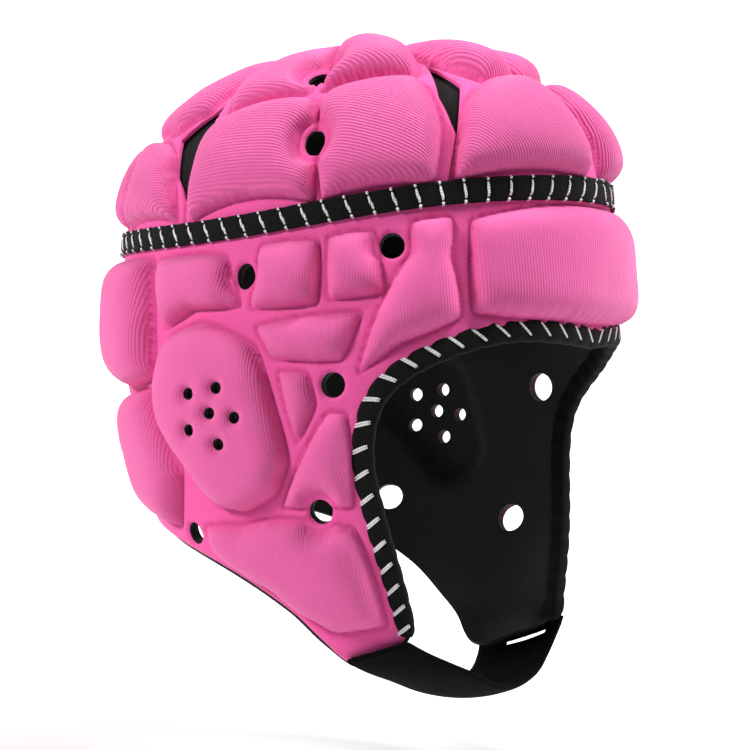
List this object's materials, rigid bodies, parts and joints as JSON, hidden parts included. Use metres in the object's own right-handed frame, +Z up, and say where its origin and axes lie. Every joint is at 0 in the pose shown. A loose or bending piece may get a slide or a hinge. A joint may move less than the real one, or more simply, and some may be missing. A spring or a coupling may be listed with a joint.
{
  "type": "goalkeeper head guard",
  "caption": "Padded soft head guard of moulded foam panels with vents and ear holes, a black lining, an elastic band on the crown seam, a bound face opening and a chin strap.",
  "frame": {"origin": "top of the hollow, on the inside of the crown lining, where the crown of the head meets the guard", "axes": "+Z up along the wearer, -Y to the wearer's front, -X to the wearer's right"},
  "size_m": [0.1878, 0.221, 0.2603],
  "materials": {
    "pink_lower_panel": "fine ribbed knit over moulded foam",
    "pink_crown_panel": "fine ribbed knit over moulded foam",
    "black_lower_lining": "matt knit",
    "black_crown_lining": "matt knit",
    "black_elastic": "matt woven elastic",
    "black_binding": "matt knit tape",
    "black_webbing": "matt ribbed webbing"
  },
  "bodies": {
    "root": {"lower_panel": "pink_lower_panel", "crown_panel": "pink_crown_panel", "lower_lining": "black_lower_lining", "crown_lining": "black_crown_lining", "crown_band": "black_elastic", "face_binding": "black_binding", "chin_strap": "black_webbing"}
  },
  "joints": []
}
